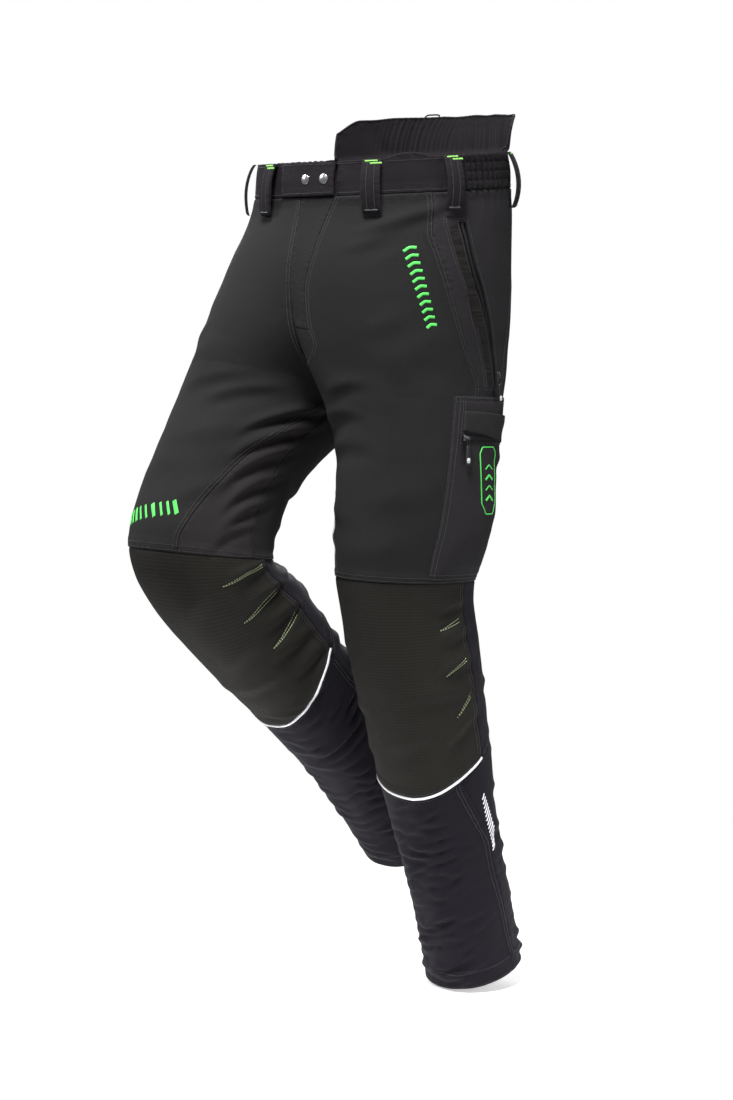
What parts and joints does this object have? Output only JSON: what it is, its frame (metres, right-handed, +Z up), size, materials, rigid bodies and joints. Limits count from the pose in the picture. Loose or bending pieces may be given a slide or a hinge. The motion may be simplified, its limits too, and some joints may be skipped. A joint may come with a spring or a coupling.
{
  "type": "chainsaw protection trousers",
  "caption": "Full-length chainsaw protection trousers in a walking pose, with raised kidney panel, padded legs, cargo pocket, zips and belt loops.",
  "frame": {"origin": "middle of the waist opening, level with the waist edge", "axes": "+Z up, out of the waist opening; +X to the wearer's left; the wearer faces -Y"},
  "size_m": [0.3963, 0.4645, 1.1238],
  "materials": {
    "shell": "matt stretch woven shell fabric, dark neutral grey",
    "band": "matt woven waistband fabric, charcoal with a violet cast",
    "elastic": "gathered elastic knit, near black",
    "side": "soft stretch fabric, dark charcoal",
    "gusset": "four-way stretch fabric, near black",
    "knee": "ripstop knee fabric with a faint grid",
    "shin": "light woven fabric, navy charcoal",
    "cargo": "matt woven pocket fabric, dark charcoal",
    "reflective": "white reflective piping",
    "pad": "layered saw-protection fibre, undyed",
    "lining": "smooth black mesh lining",
    "zip": "black zip tape with moulded teeth",
    "metal": "nickel-plated snap and slider metal",
    "pull": "black moulded zip pull"
  },
  "bodies": {
    "trousers": {"waistband_right": "band", "waistband_left": "band", "waistband_back": "band", "belt_loop_front_right": "band", "belt_loop_side_right": "band", "belt_loop_front_left": "band", "belt_loop_side_left": "band", "belt_loop_hip_left": "band", "belt_loop_back": "band", "belt_loop_hip_right": "band", "waist_elastic_left": "elastic", "waist_elastic_right": "elastic", "kidney_panel": "elastic", "hanger_loop": "elastic", "snap_stud_outer": "metal", "snap_stud_inner": "metal", "fly_shield": "lining", "fly_zip": "zip", "cargo_zip": "zip", "cargo_pocket": "cargo", "cargo_flap": "cargo", "front_left": "shell", "seat_left": "shell", "side_panel_left": "side", "inner_gusset_left": "gusset", "knee_front_left": "knee", "knee_back_left": "shin", "saw_pad_left": "pad", "leg_lining_left": "lining", "hand_pocket_bag_left": "lining", "hand_pocket_zip_left": "zip", "front_right": "shell", "seat_right": "shell", "side_panel_right": "side", "inner_gusset_right": "gusset", "knee_front_right": "knee", "knee_back_right": "shin", "saw_pad_right": "pad", "leg_lining_right": "lining", "hand_pocket_bag_right": "lining", "hand_pocket_zip_right": "zip"},
    "left_shin": {"shin_front_left": "shin", "calf_left": "shin", "hem_cuff_left": "shin", "piping_left": "reflective"},
    "right_shin": {"shin_front_right": "shin", "calf_right": "shin", "hem_cuff_right": "shin", "piping_right": "reflective"},
    "fly_flap": {"fly_flap": "shell", "waist_tab": "band", "snap_cap_outer": "metal", "snap_cap_inner": "metal"},
    "fly_slider": {"fly_slider": "metal"},
    "hand_slider_left": {"hand_slider_left": "metal"},
    "hand_puller_left": {"hand_puller_left": "pull"},
    "hand_slider_right": {"hand_slider_right": "metal"},
    "hand_puller_right": {"hand_puller_right": "pull"},
    "cargo_slider": {"cargo_slider": "metal"},
    "cargo_puller": {"cargo_puller": "pull"}
  },
  "joints": [
    {"name": "left_knee", "type": "hinge", "parent": "trousers", "child": "left_shin", "pos_m": [0.094, -0.052, -0.535], "axis": [1, 0, 0], "range_deg": [-15, 75], "deforming": ["knee_front_left", "knee_back_left", "saw_pad_left", "leg_lining_left"]},
    {"name": "right_knee", "type": "hinge", "parent": "trousers", "child": "right_shin", "pos_m": [-0.113, -0.198, -0.505], "axis": [1, 0, 0], "range_deg": [-65, 30], "deforming": ["knee_front_right", "knee_back_right", "saw_pad_right", "leg_lining_right"]},
    {"name": "fly_flap_open", "type": "hinge", "parent": "trousers", "child": "fly_flap", "pos_m": [0.054, -0.14364, -0.05078], "axis": [0.1371, 0.1494, 0.9792], "range_deg": [0, 50]},
    {"name": "fly_zip_slide", "type": "slide", "parent": "trousers", "child": "fly_slider", "axis": [0, -0.1343, -0.9909], "range_m": [0, 0.125]},
    {"name": "hand_zip_left", "type": "hinge", "parent": "trousers", "child": "hand_slider_left", "pos_m": [-0.60275, -0.46002, -0.32431], "axis": [0.52, -0.8049, -0.2859], "range_deg": [0, 11.1]},
    {"name": "hand_pull_left", "type": "hinge", "parent": "hand_slider_left", "child": "hand_puller_left", "pos_m": [0.18131, 0.0252, -0.27021], "axis": [0.2417, -0.9704, 0], "range_deg": [-3, 110]},
    {"name": "hand_zip_right", "type": "hinge", "parent": "trousers", "child": "hand_slider_right", "pos_m": [-0.068, -0.26859, -0.19067], "axis": [0.8964, 0.443, 0.0114], "range_deg": [0, 39.2]},
    {"name": "hand_pull_right", "type": "hinge", "parent": "hand_slider_right", "child": "hand_puller_right", "pos_m": [-0.18734, -0.0338, -0.28301], "axis": [0.2181, 0.9759, 0], "range_deg": [-3, 110]},
    {"name": "cargo_zip_slide", "type": "hinge", "parent": "trousers", "child": "cargo_slider", "pos_m": [0.05367, -0.02977, -0.3474], "axis": [-0.0178, 0.0885, 0.9959], "range_deg": [0, 37]},
    {"name": "cargo_pull", "type": "hinge", "parent": "cargo_slider", "child": "cargo_puller", "pos_m": [0.19526, -0.04769, -0.34316], "axis": [-0.0671, -0.9977, 0], "range_deg": [-3, 110]}
  ]
}
